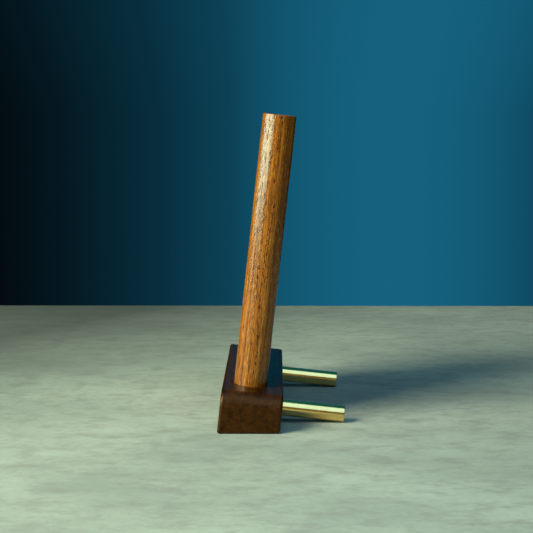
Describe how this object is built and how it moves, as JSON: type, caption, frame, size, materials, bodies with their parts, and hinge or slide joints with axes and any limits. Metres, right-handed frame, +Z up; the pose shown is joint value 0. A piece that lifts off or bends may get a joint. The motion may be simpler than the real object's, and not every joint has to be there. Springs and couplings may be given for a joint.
{
  "type": "leaning display stand",
  "caption": "Leaning display stand: a long dark hardwood block with a round-edged upright wooden board that leans back and brass rods behind that prop it on the table.",
  "frame": {"origin": "on the table, under the middle of the stand's footprint", "axes": "+Z up, +X towards the back, the side that the brass rods are on, Y along the block with the front end at -Y"},
  "size_m": [0.0956, 0.206, 0.2332],
  "materials": {
    "block_wood": "semi-gloss clear coat on dark walnut",
    "board_wood": "satin oil on orange-brown hardwood with open pores",
    "brass": "polished"
  },
  "bodies": {
    "root": {"base_block": "block_wood", "upright_board": "board_wood", "front_brass_rod": "brass", "rear_brass_rod": "brass"}
  },
  "joints": []
}
